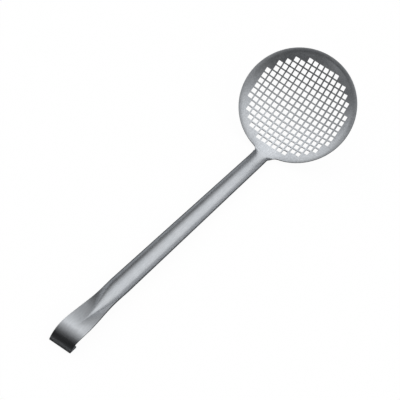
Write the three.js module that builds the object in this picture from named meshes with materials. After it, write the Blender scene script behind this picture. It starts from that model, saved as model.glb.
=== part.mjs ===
// A hand skimmer: a shallow bowl of punched sheet steel on a long channel handle with a hook.
// Both pieces start as flat blanks. Each blank is pressed to its form and given the sheet's thickness.
// Units are millimetres. +X runs along the handle to the hook, +Z is up, as the skimmer lies on a table.

import * as THREE from 'three'

const { degToRad, lerp, smoothstep, clamp } = THREE.MathUtils

// Sheet and weld
const sheet = 1.2
const weldGap = 0.3

// Bowl
const bowlRadius = 60
const bowlDepth = 16
const rimLipWidth = 5
const rimLipTurn = degToRad(20)
const rimLipFade = [degToRad(20), degToRad(36)]
const rimSegments = 96

// Holes, measured along the sheet before it is pressed
const holePitch = 6.46
const holeSide = 5
const plainBorder = 11.3
const gridShift = 1.1

// Handle, lengths measured along its middle line from the bowl's rim
const handleAngle = degToRad(42.5)
const rootBend = 20
const channelStart = 12
const channelEnd = 272
const padStart = 350
const padEnd = 350.8
const channelAngle = degToRad(66)
const grooveRadius = 2
const grooveShare = 0.75
const leanEase = 1.25
const rootHalfWidth = 9.8
const padHalfWidth = 12.5
const lipHalfWidth = 11.5
const neckFillet = 4.5
const columns = 16

// Hook: an eased start, the round nose, a tight fold and a flat lip
const easeRadius = 32.3
const easeTurn = degToRad(23)
const noseRadius = 9.9
const noseTurn = degToRad(55)
const foldRadius = 2
const lipLength = 9.5

const steel = { color: 0xb4b7ba, metalness: 1, roughness: 0.32 }

// Evenly spaced values after from, up to to
const spread = (from, to, steps) => Array.from({ length: steps }, (_, k) => lerp(from, to, (k + 1) / steps))

// A blank is a flat net of triangles whose points are shared by the triangles that meet there.
class Blank {
  constructor() {
    this.points = []
    this.triangles = []
    this.known = new Map()
  }

  point(u, v) {
    const key = `${u.toFixed(5)} ${v.toFixed(5)}`
    if (!this.known.has(key)) {
      this.known.set(key, this.points.length)
      this.points.push({ u, v })
    }
    return this.known.get(key)
  }

  triangle(a, b, c) {
    this.triangles.push([a, b, c])
  }

  quad(a, b, c, d) {
    this.triangle(a, b, c)
    this.triangle(a, c, d)
  }
}

// Presses a blank: the top follows form(u, v, 0), the underside lies one sheet below it, and every
// edge that belongs to one triangle only, at a hole or at the outline, gets a wall.
function pressed(blank, form) {
  const top = blank.points.map(({ u, v }) => form(u, v, 0))
  const under = blank.points.map(({ u, v }) => form(u, v, -sheet))
  const positions = [...top, ...under].flatMap((p) => p.toArray())
  const below = top.length
  const index = []
  const edges = new Set()
  for (const [a, b, c] of blank.triangles) {
    index.push(a, b, c)
    index.push(below + a, below + c, below + b)
    edges.add(`${a} ${b}`)
    edges.add(`${b} ${c}`)
    edges.add(`${c} ${a}`)
  }
  for (const edge of edges) {
    const [a, b] = edge.split(' ').map(Number)
    if (!edges.has(`${b} ${a}`)) {
      index.push(b, a, below + a)
      index.push(b, below + a, below + b)
    }
  }
  const geometry = new THREE.BufferGeometry()
  geometry.setAttribute('position', new THREE.Float32BufferAttribute(positions, 3))
  geometry.setIndex(index)
  geometry.computeVertexNormals()
  return geometry
}

// The bowl's sphere, and the arc from its lowest point to the rim
const sphereRadius = (bowlRadius ** 2 + bowlDepth ** 2) / (2 * bowlDepth)
const rimSlope = Math.asin(bowlRadius / sphereRadius)
const rimArc = sphereRadius * rimSlope
const lipArc = rimArc - rimLipWidth
const lipRadius = rimLipWidth / rimLipTurn

// The bowl's section: distance from the axis, height above the rim and slope at an arc length
function spherical(arc) {
  const slope = arc / sphereRadius
  const height = sphereRadius * (Math.cos(rimSlope) - Math.cos(slope))
  return { reach: sphereRadius * Math.sin(slope), height, slope }
}

// The same section where the rim eases outward into its narrow lip
function lipped(arc) {
  const start = spherical(Math.min(arc, lipArc))
  const slope = start.slope - Math.max(0, arc - lipArc) / lipRadius
  const reach = start.reach + lipRadius * (Math.sin(start.slope) - Math.sin(slope))
  const height = start.height + lipRadius * (Math.cos(slope) - Math.cos(start.slope))
  return { reach, height, slope }
}

// u points to the neck, v across it, and the bowl's open side faces +Z.
function bowlForm(u, v, w) {
  const arc = Math.hypot(u, v)
  const around = Math.atan2(v, u)
  const plain = spherical(arc)
  const eased = lipped(arc)
  const share = smoothstep(Math.abs(around), ...rimLipFade)
  const slope = lerp(plain.slope, eased.slope, share)
  const reach = lerp(plain.reach, eased.reach, share) - w * Math.sin(slope)
  const height = lerp(plain.height, eased.height, share) + w * Math.cos(slope)
  return new THREE.Vector3(reach * Math.cos(around), reach * Math.sin(around), height)
}

// Joins two loops that run round the same centre with a band of triangles.
function band(blank, inner, outer, centre) {
  const angle = (k) => Math.atan2(blank.points[k].v - centre.v, blank.points[k].u - centre.u)
  const sorted = (loop) => loop.map((k) => ({ k, at: angle(k) })).sort((p, q) => p.at - q.at)
  const around = (loop, n) => ({
    k: loop[n % loop.length].k,
    at: loop[n % loop.length].at + 2 * Math.PI * Math.floor(n / loop.length),
  })
  const near = sorted(inner)
  const far = sorted(outer)
  let i = 0
  let j = 0
  while (i < near.length || j < far.length) {
    const nextNear = around(near, i + 1)
    const nextFar = around(far, j + 1)
    if (j === far.length || (i < near.length && nextNear.at < nextFar.at)) {
      blank.triangle(around(near, i).k, around(far, j).k, nextNear.k)
      i += 1
    } else {
      blank.triangle(around(near, i).k, around(far, j).k, nextFar.k)
      j += 1
    }
  }
}

// The bowl's blank: a square grid of holes, then plain rings out to the rim
function bowlBlank() {
  const blank = new Blank()
  const centre = { u: gridShift, v: 0 }
  const grid = (across, along) => blank.point(centre.u + holePitch * along, centre.v + holePitch * across)
  const fieldRadius = rimArc - plainBorder
  const reach = Math.ceil(fieldRadius / holePitch)
  const half = holeSide / holePitch / 2
  const turns = [[-1, -1], [-1, 1], [1, 1], [1, -1]]
  const uses = new Map()
  for (let row = -reach; row < reach; row += 1) {
    for (let column = -reach; column < reach; column += 1) {
      const across = row + 0.5
      const along = column + 0.5
      if (holePitch * Math.hypot(across, along) > fieldRadius) continue
      const cell = turns.map(([a, b]) => grid(across + a / 2, along + b / 2))
      const hole = turns.map(([a, b]) => grid(across + a * half, along + b * half))
      cell.forEach((corner, k) => {
        const next = (k + 1) % cell.length
        blank.quad(corner, cell[next], hole[next], hole[k])
        uses.set(corner, (uses.get(corner) ?? 0) + 1)
      })
    }
  }
  const outline = [...uses.keys()].filter((corner) => uses.get(corner) < 4)
  const firstRing = fieldRadius + holePitch * Math.SQRT1_2 + gridShift
  const rings = [firstRing, ...spread(firstRing, rimArc, 4)].map((arc) =>
    Array.from({ length: rimSegments }, (_, k) => {
      const around = (2 * Math.PI * k) / rimSegments
      return blank.point(arc * Math.cos(around), arc * Math.sin(around))
    }))
  band(blank, outline, rings[0], centre)
  for (let k = 1; k < rings.length; k += 1) {
    band(blank, rings[k - 1], rings[k], { u: 0, v: 0 })
  }
  return blank
}

// Half the sheet's width across the handle, before the channel is pressed
function halfWidth(length) {
  if (length > padEnd) return lerp(padHalfWidth, lipHalfWidth, smoothstep(length, padEnd, lipStart))
  const along = clamp((length - neckFillet) / (padStart - neckFillet), 0, 1)
  return lerp(rootHalfWidth, padHalfWidth, along)
}

// The section across the handle: the floor's radius and how steep the walls get. At the root it is dished
// like the bowl. Towards the pad the floor narrows to a groove while the walls lean out until they are flat.
function section(length) {
  const rise = smoothstep(length, 0, channelStart)
  const radius = 1 / lerp(1 / sphereRadius, channelAngle / halfWidth(length), rise)
  if (length < channelEnd) return { radius, steepest: Math.PI / 2 }
  const runOut = (length - channelEnd) / (padStart - channelEnd)
  return {
    radius: lerp(radius, grooveRadius, smoothstep(runOut, 0, grooveShare)),
    steepest: channelAngle * (1 - Math.min(runOut, 1) ** leanEase),
  }
}

// A point of the section: its place beside the middle, its height over the floor and its slope
function sectionPoint({ radius, steepest }, across) {
  const bent = clamp(across, -radius * steepest, radius * steepest)
  const straight = across - bent
  const slope = bent / radius
  return {
    side: radius * Math.sin(slope) + straight * Math.cos(slope),
    height: radius * (1 - Math.cos(slope)) + straight * Math.sin(slope),
    slope,
  }
}

// The hook's drop and reach from the pad, and the tilt at which its lip lies flat on the table
const hookTurn = easeTurn + noseTurn
const easeEnd = padEnd + easeRadius * easeTurn
const noseEnd = easeEnd + noseRadius * noseTurn
const hookDrop =
  easeRadius * (1 - Math.cos(easeTurn)) +
  noseRadius * (Math.cos(easeTurn) - Math.cos(hookTurn)) +
  foldRadius * (Math.cos(hookTurn) + 1)
const hookReach = (easeRadius - noseRadius) * Math.sin(easeTurn) + (noseRadius - foldRadius) * Math.sin(hookTurn)
const channelHalf = lerp(rootHalfWidth, padHalfWidth, (channelEnd - neckFillet) / (padStart - neckFillet))
const channelDepth = (channelHalf / channelAngle) * (1 - Math.cos(channelAngle))
const restTilt = Math.atan2(hookDrop - channelDepth - sheet, padEnd + hookReach - rootBend)
const foldTurn = Math.PI + restTilt - hookTurn
const lipStart = noseEnd + foldRadius * foldTurn
const tipEnd = lipStart + lipLength

// The middle line: runs of constant curvature, each with its length and the angle it turns upward
const runs = [
  { length: rootBend, turn: handleAngle - rimSlope },
  { length: padEnd - rootBend, turn: 0 },
  { length: easeEnd - padEnd, turn: -easeTurn },
  { length: noseEnd - easeEnd, turn: -noseTurn },
  { length: lipStart - noseEnd, turn: -foldTurn },
  { length: lipLength, turn: 0 },
]

// Moves a place on the middle line along an arc
function advance(place, length, turn) {
  const middle = place.heading + turn / 2
  const chord = turn === 0 ? length : (length * Math.sin(turn / 2)) / (turn / 2)
  return {
    x: place.x + chord * Math.cos(middle),
    z: place.z + chord * Math.sin(middle),
    heading: place.heading + turn,
  }
}

// The place at a length along the middle line. The sphere of the bowl carries on before the rim.
function middleLine(length) {
  let place = {
    x: bowlRadius * Math.cos(handleAngle),
    z: -bowlRadius * Math.sin(handleAngle),
    heading: rimSlope - handleAngle,
  }
  if (length < 0) return advance(place, length, length / sphereRadius)
  let left = length
  for (const run of runs) {
    const step = Math.min(left, run.length)
    place = advance(place, step, (run.turn * step) / run.length)
    left -= step
  }
  return place
}

// Towards the pad the floor rises until it is level with the channel's edges.
function handleForm(length, across, w) {
  const place = middleLine(length)
  const shape = section(length)
  const { side, height, slope } = sectionPoint(shape, across)
  const floor = length < channelEnd ? 0 : channelDepth - sectionPoint(shape, halfWidth(length)).height
  const rise = height + w * Math.cos(slope)
  return new THREE.Vector3(
    place.x - rise * Math.sin(place.heading),
    side - w * Math.sin(slope),
    place.z + floor + rise * Math.cos(place.heading),
  )
}

// The length, less than zero, at which the rim's circle passes a point across the root
function rimSetback(across) {
  const lean = across / sphereRadius
  const slope = Math.sqrt(Math.sin(rimSlope) ** 2 - Math.sin(lean) ** 2) / Math.cos(lean)
  return sphereRadius * (Math.asin(slope) - rimSlope)
}

// The handle's blank: stations along the middle line, each a row of points from edge to edge
function handleBlank() {
  const blank = new Blank()
  const filletTurns = [0, ...spread(0, Math.PI / 2, 6)]
  const stations = filletTurns.map((turn) => ({
    length: neckFillet * (1 - Math.cos(turn)),
    half: rootHalfWidth + neckFillet * (1 - Math.sin(turn)),
  }))
  const lengths = [
    ...spread(neckFillet, channelStart, 5),
    ...spread(channelStart, rootBend, 3),
    ...spread(rootBend, channelEnd, 6),
    ...spread(channelEnd, padStart, 12),
    padEnd,
    ...spread(padEnd, easeEnd, 4),
    ...spread(easeEnd, noseEnd, 8),
    ...spread(noseEnd, lipStart, 8),
    tipEnd,
  ]
  for (const length of lengths) stations.push({ length, half: halfWidth(length) })
  const rows = stations.map(({ length, half }) =>
    Array.from({ length: columns + 1 }, (_, k) => {
      const across = half * ((2 * k) / columns - 1)
      const root = (weldGap + rimSetback(across)) * (1 - smoothstep(length, 0, rootBend))
      return blank.point(length + root, across)
    }))
  for (let row = 1; row < rows.length; row += 1) {
    for (let k = 1; k <= columns; k += 1) {
      blank.quad(rows[row - 1][k - 1], rows[row][k - 1], rows[row][k], rows[row - 1][k])
    }
  }
  return blank
}

function piece(name, geometry) {
  const mesh = new THREE.Mesh(geometry, new THREE.MeshStandardMaterial(steel))
  mesh.name = name
  return mesh
}

const bowl = piece('perforated_bowl', pressed(bowlBlank(), bowlForm))
bowl.rotation.y = handleAngle
const handle = piece('channel_handle', pressed(handleBlank(), handleForm))

// Lay the skimmer on its hook lip and the channel's underside at the neck, centred over the origin.
const lying = new THREE.Group()
lying.name = 'lying'
lying.add(bowl, handle)
lying.rotation.y = -restTilt
const group = new THREE.Group()
group.name = 'skimmer'
group.add(lying)
group.updateMatrixWorld(true)
const box = new THREE.Box3().setFromObject(group, true)
lying.position.set(-(box.min.x + box.max.x) / 2, 0, -box.min.z)
group.updateMatrixWorld(true)

export default group
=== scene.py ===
# A hand skimmer: a bowl of punched sheet steel on a channel handle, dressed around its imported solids.
# Sizes of the sheet are in millimetres, as in the part's source. Patches, camera and light are in metres.

import math

import bpy
import numpy as np
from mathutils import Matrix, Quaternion, Vector


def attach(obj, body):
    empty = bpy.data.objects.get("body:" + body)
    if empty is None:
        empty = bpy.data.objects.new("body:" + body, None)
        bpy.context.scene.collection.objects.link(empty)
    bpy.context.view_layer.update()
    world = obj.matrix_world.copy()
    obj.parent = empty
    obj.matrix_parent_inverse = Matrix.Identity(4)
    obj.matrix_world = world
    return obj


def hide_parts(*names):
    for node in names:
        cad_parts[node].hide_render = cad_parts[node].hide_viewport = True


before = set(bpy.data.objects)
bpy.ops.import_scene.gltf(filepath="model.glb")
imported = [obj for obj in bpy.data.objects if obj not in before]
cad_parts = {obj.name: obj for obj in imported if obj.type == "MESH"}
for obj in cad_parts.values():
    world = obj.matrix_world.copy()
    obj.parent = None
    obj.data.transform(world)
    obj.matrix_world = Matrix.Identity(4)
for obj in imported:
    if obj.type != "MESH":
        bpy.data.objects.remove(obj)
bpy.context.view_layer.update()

# Sheet and its rounded edges
sheet = 1.2
edge_radius = 0.15
edge_steps = 3

# Sharper edges at the weld: the share of the neck's rim with them, and how far they fade along the handle
weld_edge_radius = 0.03
weld_edge_share = 0.93
weld_edge_fade = (0.1, 1.5)

# Bowl. The rim's lip runs a few degrees nearer to the neck than in the solids, as fine trim
bowl_radius = 60
bowl_depth = 16
rim_lip_width = 5
rim_lip_turn = math.radians(20)
rim_lip_fade = (math.radians(15), math.radians(27))
rim_segments = 240
border_steps = 3
rim_lip_steps = 4

# Holes, measured along the sheet before it is pressed
hole_pitch = 6.46
hole_side = 5
hole_corner = 0.3
corner_steps = 4
plain_border = 11.3
grid_shift = 1.1

# Handle, lengths measured along its middle line from the bowl's rim
handle_angle = math.radians(42.5)
root_bend = 20
channel_start = 12
channel_end = 272
pad_start = 350
pad_end = 350.8
channel_angle = math.radians(66)
groove_radius = 2
groove_share = 0.75
lean_ease = 1.25
root_half_width = 9.8
pad_half_width = 12.5
lip_half_width = 11.5
neck_fillet = 4.5
fillet_steps = 12
columns = 48

# Hook: an eased start, the round nose, a tight fold and a flat lip
ease_radius = 32.3
ease_turn = math.radians(23)
nose_radius = 9.9
nose_turn = math.radians(55)
fold_radius = 2
lip_length = 9.5
tip_corner = 1.2
tip_steps = 6

# Steel's finish. Cut edges are darkened as painted shade, of which hole walls facing across the handle
# take a share
noise_range = (0.3, 0.7)
blotch_scale = 55.0
blotch_detail = 4.0
blotch_colours = ((0.475, 0.487, 0.503, 1), (0.525, 0.533, 0.545, 1))
blotch_roughness = (0.27, 0.34)
grain_scale = 800.0
grain_detail = 3.0
grain_level = 0.93
grain_strength = 0.12
grain_height = 0.0001
# Rough sheared steel on the cut edges, made near-black as painted shade
cut_and_shade_colour = (0.09, 0.093, 0.096, 1)
cut_roughness = 0.2
# Painted shade on hole walls: those facing along the handle take all of it, those across take this share
side_wall_shade_share = 0.25

# Patches painted on the steel: a highlight at the neck, print and shade on the pad, shade on the rim.
# Their middles, the distances at which they are full and gone, and their levels
# Painted highlight: the steel is brighter around the neck
neck_highlight = (-0.146, 0, 0.006)
neck_highlight_reach = (0.003, 0.02)
neck_highlight_level = 1.2
# Darker band on the pad: where the lettering is stamped, and painted shade for channel walls that the
# sheet lets go flat too early
pad_print_and_shade = (0.19, 0, 0.01)
pad_print_and_shade_reach = (0.003, 0.021)
pad_print_and_shade_squeeze = 0.2
pad_print_and_shade_level = 0.68
# Painted shade: the bowl is darker towards its rim's edge
rim_shade_reach = (0.0605, 0.0535)

# Camera
camera_place = (1.47993, 0.48452, 1.40568)
camera_target = (-0.08663, -0.02929, -0.05099)
camera_roll = math.radians(20.759)
camera_sight = 20
sensor_width = 36
lens = 195.34

# Floor and world
floor_half = 4.0
floor_height = -0.0003
floor_colour = (0.97, 0.97, 0.97, 1)
floor_own_white = 0.95
white = (1, 1, 1, 1)
world_level = 1.0

# Light tent, with a flag over the hook
tent_level = 1.28
tent_colour = (0.96, 0.98, 1, 1)
tent_back = -2.5
canopy_seam = -0.25
canopy_fore = 0.2
tent_front = 1.5
tent_left = -0.9
tent_right = 0.46
tent_height = 0.44
ground_height = -0.0002
flag_back = 0.12
flag_front = 0.65
flag_left = -0.3
flag_width = 0.4
flag_height = 0.12


def lerp(a, b, share):
    return a + (b - a) * share


def smooth(x, low, high):
    t = np.clip((x - low) / (high - low), 0, 1)
    return t * t * (3 - 2 * t)


def spread(start, end, steps):
    """Evenly spaced values after start, up to end."""
    return [lerp(start, end, (k + 1) / steps) for k in range(steps)]


# The bowl's sphere, and the arc from its lowest point to the rim
sphere_radius = (bowl_radius**2 + bowl_depth**2) / (2 * bowl_depth)
rim_slope = math.asin(bowl_radius / sphere_radius)
rim_arc = sphere_radius * rim_slope
lip_arc = rim_arc - rim_lip_width
lip_radius = rim_lip_width / rim_lip_turn


def spherical(arc):
    """Reach from the axis, height over the rim and slope at an arc length."""
    slope = arc / sphere_radius
    height = sphere_radius * (math.cos(rim_slope) - np.cos(slope))
    return sphere_radius * np.sin(slope), height, slope


def lipped(arc):
    """The same where the rim eases outward into its narrow lip."""
    reach, height, start = spherical(np.minimum(arc, lip_arc))
    slope = start - np.maximum(0, arc - lip_arc) / lip_radius
    reach = reach + lip_radius * (np.sin(start) - np.sin(slope))
    height = height + lip_radius * (np.cos(slope) - np.cos(start))
    return reach, height, slope


def bowl_form(u, v, w):
    """Place of a point of the bowl's blank. u points to the neck, v across it, w out of the sheet."""
    arc = np.hypot(u, v)
    around = np.arctan2(v, u)
    share = smooth(np.abs(around), *rim_lip_fade)
    reach, height, slope = (lerp(a, b, share) for a, b in zip(spherical(arc), lipped(arc)))
    reach = reach - w * np.sin(slope)
    height = height + w * np.cos(slope)
    return np.stack([reach * np.cos(around), reach * np.sin(around), height], -1)


# The hook's drop and reach from the pad, and the tilt at which its lip lies flat
hook_turn = ease_turn + nose_turn
ease_end = pad_end + ease_radius * ease_turn
nose_end = ease_end + nose_radius * nose_turn
ease_drop = ease_radius * (1 - math.cos(ease_turn))
nose_drop = nose_radius * (math.cos(ease_turn) - math.cos(hook_turn))
hook_drop = ease_drop + nose_drop + fold_radius * (math.cos(hook_turn) + 1)
ease_reach = (ease_radius - nose_radius) * math.sin(ease_turn)
hook_reach = ease_reach + (nose_radius - fold_radius) * math.sin(hook_turn)
channel_share = (channel_end - neck_fillet) / (pad_start - neck_fillet)
channel_half = lerp(root_half_width, pad_half_width, channel_share)
channel_depth = (1 - math.cos(channel_angle)) * channel_half / channel_angle
rest_tilt = math.atan2(hook_drop - channel_depth - sheet, pad_end + hook_reach - root_bend)
fold_turn = math.pi + rest_tilt - hook_turn
lip_start = nose_end + fold_radius * fold_turn
tip_end = lip_start + lip_length

# The middle line's runs of constant curvature: length and turn upward
runs = (
    (root_bend, handle_angle - rim_slope),
    (pad_end - root_bend, 0.0),
    (ease_end - pad_end, -ease_turn),
    (nose_end - ease_end, -nose_turn),
    (lip_start - nose_end, -fold_turn),
    (lip_length, 0.0),
)

# The handle's stretches after the neck's fillets: where each ends, and its steps
stretches = (
    (channel_start, 8),
    (root_bend, 4),
    (channel_end, 40),
    (pad_start, 48),
    (pad_end, 4),
    (ease_end, 14),
    (nose_end, 24),
    (lip_start, 16),
    (tip_end - tip_corner, 4),
)


def half_width(length):
    along = np.clip((length - neck_fillet) / (pad_start - neck_fillet), 0, 1)
    before = lerp(root_half_width, pad_half_width, along)
    after = lerp(pad_half_width, lip_half_width, smooth(length, pad_end, lip_start))
    return np.where(length > pad_end, after, before)


def section(length):
    """The floor's radius and how steep the walls get. At the root the sheet is dished like the bowl.

    Towards the pad the floor narrows to a groove while the walls lean out until they are flat.
    """
    rise = smooth(length, 0, channel_start)
    radius = 1 / lerp(1 / sphere_radius, channel_angle / half_width(length), rise)
    run_out = (length - channel_end) / (pad_start - channel_end)
    radius = lerp(radius, groove_radius, smooth(run_out, 0, groove_share))
    leaning = channel_angle * (1 - np.clip(run_out, 0, 1) ** lean_ease)
    return radius, np.where(length < channel_end, math.pi / 2, leaning)


def section_point(radius, steepest, across):
    """Place beside the middle, height over the floor and slope of a point of the section."""
    bent = np.clip(across, -radius * steepest, radius * steepest)
    straight = across - bent
    slope = bent / radius
    side = radius * np.sin(slope) + straight * np.cos(slope)
    height = radius * (1 - np.cos(slope)) + straight * np.sin(slope)
    return side, height, slope


def advance(place, step, turn):
    """The place and heading after a step along an arc."""
    x, z, heading = place
    chord = step * np.sinc(turn / 2 / np.pi)
    middle = heading + turn / 2
    return x + chord * np.cos(middle), z + chord * np.sin(middle), heading + turn


def middle_line(length):
    """Place and heading at a length along the middle line.

    Before the rim it carries on along the bowl's sphere.
    """
    flat = np.zeros_like(length)
    place = (
        flat + bowl_radius * math.cos(handle_angle),
        flat - bowl_radius * math.sin(handle_angle),
        flat + rim_slope - handle_angle,
    )
    before = np.minimum(length, 0)
    place = advance(place, before, before / sphere_radius)
    left = np.maximum(length, 0)
    for run_length, run_turn in runs:
        step = np.minimum(left, run_length)
        place = advance(place, step, run_turn * step / run_length)
        left = left - step
    return place


def handle_form(length, across, w):
    """Place of a point of the handle's blank. Towards the pad the floor rises to the channel's edges."""
    x, z, heading = middle_line(length)
    radius, steepest = section(length)
    side, height, slope = section_point(radius, steepest, across)
    edge = section_point(radius, steepest, half_width(length))[1]
    floor = np.where(length < channel_end, 0, channel_depth - edge)
    rise = height + w * np.cos(slope)
    return np.stack(
        [
            x - rise * np.sin(heading),
            side - w * np.sin(slope),
            z + floor + rise * np.cos(heading),
        ],
        -1,
    )


def rim_setback(across):
    """The length, less than zero, at which the rim's circle passes a point across the root."""
    lean = across / sphere_radius
    slope = np.sqrt(math.sin(rim_slope) ** 2 - np.sin(lean) ** 2) / np.cos(lean)
    return sphere_radius * (np.arcsin(slope) - rim_slope)


class Blank:
    """A flat net of faces, and the loops along which its edges are rounded."""

    def __init__(self):
        self.points = []
        self.faces = []
        self.loops = []
        self.known = {}

    def point(self, u, v):
        key = (round(u, 5), round(v, 5))
        if key not in self.known:
            self.known[key] = len(self.points)
            self.points.append((u, v))
        return self.known[key]

    def loop(self, indices, outs, radii, side_shade_share=1.0):
        """A closed loop with the sheet on its left, its directions out of the sheet and edge radii.

        Its edge takes all of the painted shade where it faces along the handle, and side_shade_share of
        it across it.
        """
        outs = np.array(outs)
        # Painted shade by the way the edge faces
        shades = lerp(side_shade_share, 1, outs[:, 0] ** 2)
        self.loops.append((np.array(indices), outs, np.array(radii), shades))


def join_loops(blank, inner, outer, centre):
    """Joins two loops that run round the same centre with triangles."""

    def by_angle(loop):
        at = [math.atan2(blank.points[k][1] - centre[1], blank.points[k][0] - centre[0]) for k in loop]
        return sorted(zip(at, loop))

    def around(loop, n):
        at, k = loop[n % len(loop)]
        return at + 2 * math.pi * (n // len(loop)), k

    near = by_angle(inner)
    far = by_angle(outer)
    i = 0
    j = 0
    while i < len(near) or j < len(far):
        next_near = around(near, i + 1)
        next_far = around(far, j + 1)
        first = (around(near, i)[1], around(far, j)[1])
        if j == len(far) or (i < len(near) and next_near[0] < next_far[0]):
            blank.faces.append((*first, next_near[1]))
            i += 1
        else:
            blank.faces.append((*first, next_far[1]))
            j += 1


def hole_loop(blank, centre_u, centre_v):
    """Points round one hole, by corner, and the directions from the sheet into the hole."""
    corners = []
    outs = []
    flat = hole_side / 2 - hole_corner
    reach = hole_corner + edge_radius
    for quarter in range(4):
        start = math.pi / 2 * quarter
        corner_u = centre_u + math.copysign(flat, math.cos(start + math.pi / 4))
        corner_v = centre_v + math.copysign(flat, math.sin(start + math.pi / 4))
        row = []
        for k in range(corner_steps + 1):
            turn = start + math.pi / 2 * k / corner_steps
            row.append(blank.point(corner_u + reach * math.cos(turn), corner_v + reach * math.sin(turn)))
            outs.append((-math.cos(turn), -math.sin(turn)))
        corners.append(row)
    return corners, outs


def punch_holes(blank, field_radius):
    """Fills the blank's middle with square cells that have a hole each.

    Returns the cells' corners round the edge of this field.
    """
    reach = math.ceil(field_radius / hole_pitch)
    signs = ((1, 1), (-1, 1), (-1, -1), (1, -1))
    uses = {}
    for row in range(-reach, reach):
        for column in range(-reach, reach):
            across = hole_pitch * (row + 0.5)
            along = hole_pitch * (column + 0.5)
            if math.hypot(across, along) > field_radius:
                continue
            cell = [
                blank.point(grid_shift + along + a * hole_pitch / 2, across + b * hole_pitch / 2)
                for a, b in signs
            ]
            corners, outs = hole_loop(blank, grid_shift + along, across)
            for k, corner in enumerate(cell):
                uses[corner] = uses.get(corner, 0) + 1
                ring = corners[k]
                after = (k + 1) % len(cell)
                for first, second in zip(ring, ring[1:]):
                    blank.faces.append((corner, second, first))
                blank.faces.append((corner, cell[after], corners[after][0], ring[-1]))
            around_hole = [k for ring in corners for k in ring]
            blank.loop(around_hole[::-1], outs[::-1], [edge_radius] * len(outs), side_wall_shade_share)
    return [corner for corner, count in uses.items() if count < len(signs)]


def bowl_blank():
    """A disc with its field of holes, and rings of faces from there to the rim."""
    blank = Blank()
    field_radius = rim_arc - plain_border
    outline = punch_holes(blank, field_radius)
    turns = [2 * math.pi * k / rim_segments for k in range(rim_segments)]
    from_neck = np.abs(np.arctan2(np.sin(turns), np.cos(turns)))
    root_turn = math.asin((root_half_width + neck_fillet) / bowl_radius)
    welded = 1 - smooth(from_neck, weld_edge_share * root_turn, root_turn)
    radii = lerp(edge_radius, weld_edge_radius, welded)
    first_arc = field_radius + hole_pitch * math.sqrt(0.5) + grid_shift
    arcs = [
        first_arc,
        *spread(first_arc, lip_arc, border_steps),
        *spread(lip_arc, rim_arc - 2 * edge_radius, rim_lip_steps),
    ]

    def ring(reaches):
        return [blank.point(r * math.cos(t), r * math.sin(t)) for r, t in zip(reaches, turns)]

    rings = [ring([arc] * rim_segments) for arc in arcs]
    rings.append(ring(rim_arc - radii))
    join_loops(blank, outline, rings[0], (grid_shift, 0))
    for inner, outer in zip(rings, rings[1:]):
        for k in range(rim_segments):
            after = (k + 1) % rim_segments
            blank.faces.append((inner[k], outer[k], outer[after], inner[after]))
    blank.loop(rings[-1], [(math.cos(t), math.sin(t)) for t in turns], radii)
    return blank


def handle_stations():
    """Lengths and half widths along the handle, set in by the edges' radius."""
    stations = []
    for turn in [0, *spread(0, math.pi / 2, fillet_steps)]:
        half = root_half_width + neck_fillet * (1 - math.sin(turn))
        stations.append((neck_fillet * (1 - math.cos(turn)), half))
    start = neck_fillet
    for end, steps in stretches:
        for length in spread(start, end, steps):
            stations.append((length, float(half_width(np.array(length)))))
        start = end
    for turn in spread(0, math.pi / 2, tip_steps):
        half = lip_half_width - tip_corner * (1 - math.cos(turn))
        stations.append((tip_end - tip_corner * (1 - math.sin(turn)), half))
    stations = np.array(stations)
    stations[:, 1] -= edge_radius
    stations[-tip_steps - 1 :, 0] -= edge_radius * np.linspace(0, 1, tip_steps + 1)
    return stations


def handle_blank():
    """A strip of rows across the handle, with a hollow end that fits the bowl's rim."""
    blank = Blank()
    stations = handle_stations()
    share = 2 * np.arange(columns + 1) / columns - 1
    across = stations[:, 1:] * share
    root = (weld_edge_radius + rim_setback(across)) * (1 - smooth(stations[:, :1], 0, root_bend))
    length = stations[:, :1] + root
    rows = [
        [blank.point(float(u), float(v)) for u, v in zip(us, vs)]
        for us, vs in zip(length, across)
    ]
    for first, second in zip(rows, rows[1:]):
        for k in range(columns):
            blank.faces.append((first[k], second[k], second[k + 1], first[k + 1]))
    right = [row[0] for row in rows]
    left = [row[-1] for row in rows]
    around = [*right, *rows[-1][1:-1], *left[::-1], *rows[0][-2:0:-1]]
    spots = np.array([blank.points[k] for k in around])
    ahead = np.roll(spots, -1, 0) - np.roll(spots, 1, 0)
    outs = np.stack([ahead[:, 1], -ahead[:, 0]], 1)
    outs /= np.linalg.norm(outs, axis=1)[:, None]
    from_weld = spots[:, 0] - rim_setback(np.clip(spots[:, 1], -bowl_radius / 2, bowl_radius / 2))
    radii = lerp(weld_edge_radius, edge_radius, smooth(from_weld, *weld_edge_fade))
    blank.loop(around, outs, radii)
    return blank


def form_normals(form, u, v, out, angle):
    """Normals of a pressed sheet that lean by an angle from its upper face towards out."""
    tiny = 0.01
    least = 1e-12
    along_u = form(u + tiny, v, 0 * u) - form(u - tiny, v, 0 * u)
    along_v = form(u, v + tiny, 0 * u) - form(u, v - tiny, 0 * u)
    up = np.cross(along_u, along_v)
    up /= np.linalg.norm(up, axis=1)[:, None]
    side = out[:, :1] * along_u + out[:, 1:] * along_v
    side /= np.maximum(np.linalg.norm(side, axis=1), least)[:, None]
    return up * np.cos(angle)[:, None] + side * np.sin(angle)[:, None]


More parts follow.
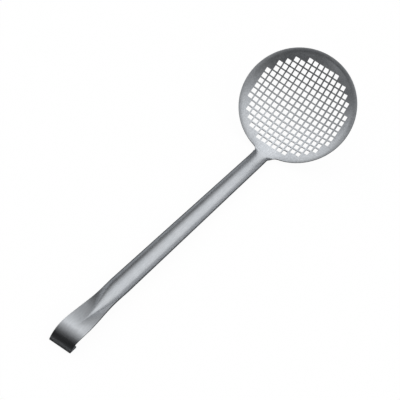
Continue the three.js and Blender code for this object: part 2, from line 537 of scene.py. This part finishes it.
def pressed(blank, form):
    """Points, normals, edge shares with their painted shade, and faces of a blank pressed to its form
    with rounded edges.
    """
    flat = np.array(blank.points)
    count = len(flat)
    spots = [flat, flat]
    depths = [np.zeros(count), np.full(count, -sheet)]
    outs = [np.zeros((count, 2)), np.zeros((count, 2))]
    angles = [np.zeros(count), np.full(count, math.pi)]
    shades = [np.zeros(2 * count)]
    faces = list(blank.faces)
    faces += [tuple(count + k for k in reversed(face)) for face in blank.faces]
    used = 2 * count
    quarter = spread(0, math.pi / 2, edge_steps)
    profile = quarter + [math.pi - angle for angle in reversed(quarter)]
    for indices, directions, radii, loop_shades in blank.loops:
        size = len(indices)
        before = indices
        for step, angle in enumerate(profile):
            base = -radii if step < edge_steps else radii - sheet
            spots.append(flat[indices] + directions * (radii * math.sin(angle))[:, None])
            depths.append(base + radii * math.cos(angle))
            outs.append(directions)
            angles.append(np.full(size, angle))
            shades.append(loop_shades)
            ring = used + np.arange(size)
            used += size
            rings = [(before, ring)]
            if step == len(profile) - 1:
                rings.append((ring, count + indices))
            for inner, outer in rings:
                faces += zip(inner, outer, np.roll(outer, -1), np.roll(inner, -1))
            before = ring
    u, v = np.concatenate(spots).T
    angle = np.concatenate(angles)
    points = form(u, v, np.concatenate(depths))
    normals = form_normals(form, u, v, np.concatenate(outs), angle)
    return points, normals, np.sin(angle) * np.concatenate(shades), faces


def turned(vectors, angle):
    """Vectors turned about the Y axis."""
    c = math.cos(angle)
    s = math.sin(angle)
    x, y, z = vectors.T
    return np.stack([c * x + s * z, y, c * z - s * x], 1)


def add_object(name, data):
    made = bpy.data.objects.new(name, data)
    bpy.context.scene.collection.objects.link(made)
    return made


def make_piece(name, points, normals, edges, faces):
    mesh = bpy.data.meshes.new(name)
    mesh.from_pydata((points / 1000).tolist(), [], [tuple(int(k) for k in face) for face in faces])
    mesh.polygons.foreach_set("use_smooth", [True] * len(mesh.polygons))
    # Share of each point on a cut edge, times its painted shade
    cut = mesh.attributes.new("cut_edge_and_shade", "FLOAT", "POINT")
    cut.data.foreach_set("value", np.clip(edges, 0, 1).astype(np.float32))
    mesh.normals_split_custom_set_from_vertices(normals.tolist())
    mesh.update()
    return add_object(name, mesh)


def empty_tree(owner):
    """The cleared node tree of a new material or world."""
    owner.use_nodes = True
    owner.node_tree.nodes.clear()
    return owner.node_tree


def node(tree, kind, inputs=None, **settings):
    made = tree.nodes.new(kind)
    for key, value in settings.items():
        setattr(made, key, value)
    for key, value in (inputs or {}).items():
        if isinstance(value, bpy.types.NodeSocket):
            tree.links.new(value, made.inputs[key])
        else:
            made.inputs[key].default_value = value
    return made


def map_range(tree, value, start, end, **settings):
    """A value carried from the range start to the range end."""
    limits = {"From Min": start[0], "From Max": start[1], "To Min": end[0], "To Max": end[1]}
    return node(tree, "ShaderNodeMapRange", {"Value": value, **limits}, **settings).outputs[0]


def closeness(tree, place, middle, reach):
    """1 at the first distance of reach from the middle, 0 at the second, and smooth in between."""
    away = node(tree, "ShaderNodeVectorMath", {0: place, 1: middle}, operation="DISTANCE")
    return map_range(tree, away.outputs["Value"], reach, (1.0, 0.0), interpolation_type="SMOOTHSTEP")


def mixed_colour(tree, share, first, second, blend_type="MIX"):
    inputs = {"Factor": share, 6: first, 7: second}
    return node(tree, "ShaderNodeMix", inputs, data_type="RGBA", blend_type=blend_type).outputs[2]


def multiplied(tree, share, base, level):
    """The base colour times the level, where the share is 1."""
    return mixed_colour(tree, share, base, level, "MULTIPLY")


def grey(level):
    return (level, level, level, 1)


def noise(tree, place, scale, detail):
    inputs = {"Vector": place, "Scale": scale, "Detail": detail}
    return node(tree, "ShaderNodeTexNoise", inputs).outputs["Fac"]


def noise_colours(tree, value, colours):
    """Goes from the first colour to the second over the range of a noise."""
    ramp = node(tree, "ShaderNodeValToRGB", {"Fac": value})
    for stop, position, colour in zip(ramp.color_ramp.elements, noise_range, colours):
        stop.position = position
        stop.color = colour
    return ramp.outputs["Color"]


def scaled(tree, place, scale):
    return node(tree, "ShaderNodeMapping", {"Vector": place, "Scale": scale}).outputs[0]


def steel_material(name, rim_middle, streak, mottle, rim_shade_level):
    """Satin stainless steel with soft blotches, fine grain and rough cut edges darkened as painted shade.

    The grain has the strength mottle and is drawn out along X by streak. A painted highlight brightens
    the steel around the neck. A band on the pad is darker where the lettering is stamped, and as painted
    shade for the channel's walls. The rim has rim_shade_level times the colour as painted shade, except
    in the painted highlight.
    """
    material = bpy.data.materials.new(name)
    tree = empty_tree(material)
    place = node(tree, "ShaderNodeTexCoord").outputs["Object"]
    grain = noise(tree, scaled(tree, place, (1 / streak, 1, 1)), grain_scale, grain_detail)
    blotch = noise(tree, place, blotch_scale, blotch_detail)
    cut = node(tree, "ShaderNodeAttribute", attribute_name="cut_edge_and_shade").outputs["Fac"]

    tint = noise_colours(tree, blotch, blotch_colours)
    specks = noise_colours(tree, grain, (grey(grain_level - mottle), grey(grain_level + mottle)))
    tint = multiplied(tree, 1.0, tint, specks)
    # ground is the painted highlight: the steel is brighter around the neck
    ground = closeness(tree, place, neck_highlight, neck_highlight_reach)
    tint = multiplied(tree, ground, tint, grey(neck_highlight_level))
    # The pad's darker band: stamped lettering, and painted shade for the channel's walls
    squeezed = scaled(tree, place, (1, pad_print_and_shade_squeeze, 1))
    print_and_shade = closeness(tree, squeezed, pad_print_and_shade, pad_print_and_shade_reach)
    tint = multiplied(tree, print_and_shade, tint, grey(pad_print_and_shade_level))
    # Painted shade towards the rim's edge, left out where the painted highlight is
    outer = closeness(tree, place, rim_middle, rim_shade_reach)
    rim = node(tree, "ShaderNodeMath", {0: outer, 1: ground}, operation="SUBTRACT", use_clamp=True)
    tint = multiplied(tree, rim.outputs[0], tint, grey(rim_shade_level))
    # Cut edges take the near-black colour: rough sheared steel, with painted shade
    tint = mixed_colour(tree, cut, tint, cut_and_shade_colour)

    satin = map_range(tree, blotch, noise_range, blotch_roughness)
    rough = node(tree, "ShaderNodeMath", {0: cut, 1: cut_roughness, 2: satin}, operation="MULTIPLY_ADD")
    relief = {"Height": grain, "Strength": grain_strength, "Distance": grain_height}
    bump = node(tree, "ShaderNodeBump", relief)
    shader = node(
        tree,
        "ShaderNodeBsdfPrincipled",
        {
            "Base Color": tint,
            "Metallic": 1.0,
            "Roughness": rough.outputs[0],
            "Normal": bump.outputs[0],
        },
    )
    node(tree, "ShaderNodeOutputMaterial", {"Surface": shader.outputs[0]})
    return material


def seen_white(tree):
    """1 for the rays that show the background: from the camera, a gloss or a clear body."""
    path = node(tree, "ShaderNodeLightPath").outputs
    direct = {0: path["Is Camera Ray"], 1: path["Is Glossy Ray"]}
    shown = node(tree, "ShaderNodeMath", direct, operation="MAXIMUM").outputs[0]
    through = {0: shown, 1: path["Is Transmission Ray"]}
    return node(tree, "ShaderNodeMath", through, operation="MAXIMUM").outputs[0]


def mixed_shader(tree, share, first, second):
    inputs = {0: share, 1: first.outputs[0], 2: second.outputs[0]}
    return node(tree, "ShaderNodeMixShader", inputs).outputs[0]


def make_world():
    world = bpy.data.worlds.new("studio")
    tree = empty_tree(world)
    light = node(tree, "ShaderNodeBackground", {"Color": white, "Strength": world_level})
    backdrop = node(tree, "ShaderNodeBackground", {"Color": white, "Strength": 1.0})
    surface = mixed_shader(tree, seen_white(tree), light, backdrop)
    node(tree, "ShaderNodeOutputWorld", {"Surface": surface})
    bpy.context.scene.world = world


def make_floor():
    """A pale floor: mostly its own white to the camera, with the rest lit, so that it keeps a shadow."""
    mesh = bpy.data.meshes.new("floor")
    signs = ((-1, -1), (1, -1), (1, 1), (-1, 1))
    corners = [(floor_half * a, floor_half * b, floor_height) for a, b in signs]
    mesh.from_pydata(corners, [], [(0, 1, 2, 3)])
    floor = add_object("floor", mesh)
    material = bpy.data.materials.new("pale_floor")
    tree = empty_tree(material)
    lit = node(tree, "ShaderNodeBsdfDiffuse", {"Color": floor_colour})
    own = node(tree, "ShaderNodeEmission", {"Color": white, "Strength": 1.0})
    share = node(tree, "ShaderNodeMath", {0: seen_white(tree), 1: floor_own_white}, operation="MULTIPLY")
    surface = mixed_shader(tree, share.outputs[0], lit, own)
    node(tree, "ShaderNodeOutputMaterial", {"Surface": surface})
    mesh.materials.append(material)


def make_screen(name, corner, along, across, along_stops, across_stops=((0, 1), (1, 1))):
    """A glowing sheet of the light tent that only gloss sees.

    It spans along and across from its corner. Stops give the level at shares of both sides, and the
    glow is their product.
    """
    corner, along, across = Vector(corner), Vector(along), Vector(across)
    points = [corner + along * a + across * b for a, _ in along_stops for b, _ in across_stops]
    glow = [tent_level * first * second for _, first in along_stops for _, second in across_stops]
    row = len(across_stops)
    faces = [
        (k, k + 1, k + 1 + row, k + row)
        for k in range(len(points) - row)
        if (k + 1) % row
    ]
    mesh = bpy.data.meshes.new(name)
    mesh.from_pydata(points, [], faces)
    mesh.attributes.new("glow", "FLOAT", "POINT").data.foreach_set("value", glow)
    screen = add_object(name, mesh)
    material = bpy.data.materials.new(name)
    tree = empty_tree(material)
    level = node(tree, "ShaderNodeAttribute", attribute_name="glow").outputs["Fac"]
    light = node(tree, "ShaderNodeEmission", {"Color": tent_colour, "Strength": level})
    node(tree, "ShaderNodeOutputMaterial", {"Surface": light.outputs[0]})
    mesh.materials.append(material)
    screen.visible_camera = False
    screen.visible_diffuse = False
    screen.visible_shadow = False


def make_canopy():
    """A low canopy in three parts, which fades over the handle."""
    across = (0, tent_right - tent_left, 0)
    make_screen(
        "canopy_back",
        (tent_back, tent_left, tent_height),
        (canopy_seam - tent_back, 0, 0),
        across,
        ((0, 0.6), (0.62, 1.02), (0.92, 1.02), (1, 0.93)),
        ((0, 0.8), (0.3, 1), (0.73, 1), (0.84, 0.8), (0.94, 0.65), (1, 0.55)),
    )
    make_screen(
        "canopy_middle",
        (canopy_seam, tent_left, tent_height),
        (canopy_fore - canopy_seam, 0, 0),
        across,
        ((0, 0.92), (0.11, 1.05), (0.3, 1), (0.467, 0.71), (0.644, 0.46), (1, 0.32)),
        ((0, 0.7), (0.3, 0.88), (0.42, 1.08), (0.7, 1.08), (0.8, 0.84), (1, 0.65)),
    )
    make_screen(
        "canopy_front",
        (canopy_fore, tent_left, tent_height),
        (tent_front - canopy_fore, 0, 0),
        across,
        ((0, 0.36), (0.1, 0.28), (0.3, 0.13), (1, 0.06)),
        ((0, 0.8), (0.3, 1), (0.48, 1), (0.75, 0.45), (1, 0.3)),
    )


def make_walls():
    """The tent's four walls and its ground."""
    along = (tent_front - tent_back, 0, 0)
    across = (0, tent_right - tent_left, 0)
    up = (0, 0, tent_height)
    make_screen(
        "front_wall",
        (tent_front, tent_left, 0),
        up,
        across,
        ((0, 0.55), (0.3, 0.35), (0.6, 0.08), (1, 0.05)),
        ((0, 1), (0.7, 1), (1, 1.6)),
    )
    make_screen("back_wall", (tent_back, tent_left, 0), up, across, ((0, 0.35), (1, 0.6)))
    make_screen(
        "left_wall",
        (tent_back, tent_left, 0),
        along,
        up,
        ((0, 1), (0.55, 1), (0.59, 1.25), (0.63, 1.25), (0.7, 0.33), (0.78, 0.27), (1, 0.27)),
        ((0, 0.25), (0.3, 0.42), (1, 0.86)),
    )
    make_screen(
        "right_wall",
        (tent_back, tent_right, 0),
        along,
        up,
        ((0, 1), (0.51, 1), (0.58, 0.6), (0.68, 0.4), (1, 0.4)),
        ((0, 0.08), (0.3, 0.12), (0.5, 0.22), (0.7, 0.36), (1, 0.55)),
    )
    under_bowl = ((0, 0.3), (0.555, 0.3), (0.565, 0.5), (0.6, 0.5), (0.61, 0.3))
    under_hook = ((0.675, 0.3), (0.68, 0.05), (0.705, 0.05), (0.72, 0.6), (1, 0.6))
    make_screen(
        "ground",
        (tent_back, tent_left, ground_height),
        along,
        across,
        under_bowl + under_hook,
        ((0, 1.8), (0.5, 1.8), (0.6, 1), (1, 1)),
    )


def make_flag():
    """A dark flag over the hook, with a front that hangs down to the floor."""
    across = (0, flag_width, 0)
    make_screen(
        "flag",
        (flag_back, flag_left, flag_height),
        (flag_front - flag_back, 0, 0),
        across,
        ((0, 0.75), (0.08, 0.55), (0.15, 0.17), (0.185, 0.015), (1, 0.015)),
    )
    make_screen(
        "flag_front",
        (flag_front, flag_left, 0),
        (0, 0, flag_height),
        across,
        ((0, 0.03), (1, 0.03)),
        ((0, 8), (0.35, 3), (0.5, 1), (1, 1)),
    )


def make_camera():
    data = bpy.data.cameras.new("camera")
    data.sensor_width = sensor_width
    data.lens = lens
    data.clip_end = camera_sight
    camera = add_object("camera", data)
    place = Vector(camera_place)
    level = (Vector(camera_target) - place).to_track_quat("-Z", "Y")
    camera.rotation_mode = "QUATERNION"
    camera.rotation_quaternion = level @ Quaternion((0, 0, 1), camera_roll)
    camera.location = place
    bpy.context.scene.camera = camera


make_camera()

# Press both sheets, and lay them on the table as the solids lie
bowl_points, bowl_normals, bowl_edges, bowl_faces = pressed(bowl_blank(), bowl_form)
handle_points, handle_normals, handle_edges, handle_faces = pressed(handle_blank(), handle_form)
bowl_points = turned(bowl_points, handle_angle - rest_tilt)
bowl_normals = turned(bowl_normals, handle_angle - rest_tilt)
handle_points = turned(handle_points, -rest_tilt)
handle_normals = turned(handle_normals, -rest_tilt)
all_points = np.concatenate([bowl_points, handle_points])
low = all_points.min(0)
high = all_points.max(0)
lie = np.array([-(low[0] + high[0]) / 2, 0, -low[2]])
bowl = make_piece("skimmer_bowl", bowl_points + lie, bowl_normals, bowl_edges, bowl_faces)
handle = make_piece("skimmer_handle", handle_points + lie, handle_normals, handle_edges, handle_faces)

# The middle of the rim's circle is the origin of both forms
rim_middle = tuple(lie / 1000)
# The bowl's rim takes painted shade; at a level of 1 the handle's takes none
bowl_steel = steel_material("bowl_steel", rim_middle, streak=1, mottle=0.17, rim_shade_level=0.76)
handle_steel = steel_material("handle_steel", rim_middle, streak=6, mottle=0.06, rim_shade_level=1.0)
bowl.data.materials.append(bowl_steel)
handle.data.materials.append(handle_steel)
for piece, solid in ((bowl, "perforated_bowl"), (handle, "channel_handle")):
    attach(piece, "root")
    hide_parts(solid)

make_world()
make_floor()
make_canopy()
make_walls()
make_flag()

bpy.context.scene.view_settings.view_transform = "Standard"
